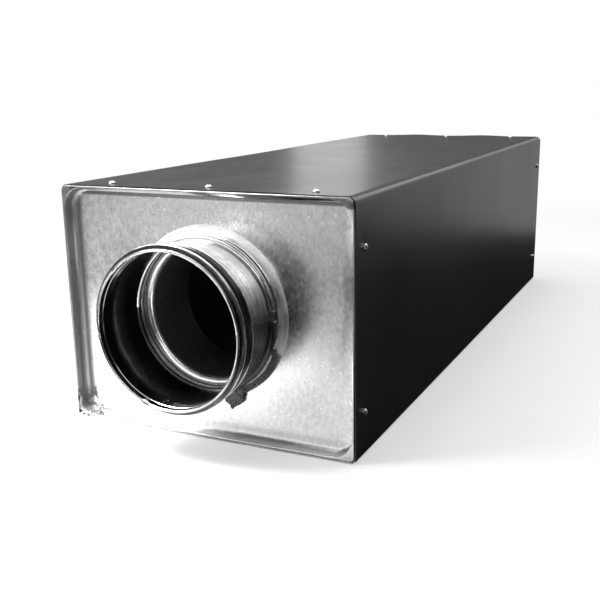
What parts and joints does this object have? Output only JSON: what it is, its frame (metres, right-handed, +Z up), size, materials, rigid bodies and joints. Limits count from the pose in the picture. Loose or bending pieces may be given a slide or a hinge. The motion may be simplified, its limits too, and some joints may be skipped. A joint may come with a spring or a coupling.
{
  "type": "duct sound attenuator",
  "caption": "Rectangular lined sheet steel box with a round spigot at each end, fitted in line with round ventilation duct to absorb fan and air noise.",
  "frame": {"origin": "middle of the underside of the base tray", "axes": "+Z up, +Y along the air path from the front spigot to the rear spigot, +X to the right seen from the front"},
  "size_m": [0.3404, 1.033, 0.2627],
  "materials": {
    "dark_paint": "smooth semi-gloss dark grey paint on sheet steel",
    "galvanised_steel": "bare galvanised sheet with fine rolled grain and faint spangle",
    "seal_rubber": "matt black sealing rubber",
    "black_fleece": "black glass fleece facing on mineral wool",
    "zinc_screw": "bright zinc plated steel"
  },
  "bodies": {
    "root": {"casing_cover": "dark_paint", "casing_base": "galvanised_steel", "front_end_panel": "galvanised_steel", "rear_end_panel": "galvanised_steel", "front_collar": "galvanised_steel", "rear_collar": "galvanised_steel", "front_seal": "seal_rubber", "rear_seal": "seal_rubber", "front_throat_liner": "galvanised_steel", "rear_throat_liner": "galvanised_steel", "front_absorber": "black_fleece", "rear_absorber": "black_fleece", "top_absorber": "black_fleece", "bottom_absorber": "black_fleece", "left_absorber": "black_fleece", "right_absorber": "black_fleece", "front_top_screws": "zinc_screw", "front_left_screws": "zinc_screw", "front_right_screws": "zinc_screw", "rear_top_screws": "zinc_screw", "rear_left_screws": "zinc_screw", "rear_right_screws": "zinc_screw"}
  },
  "joints": []
}
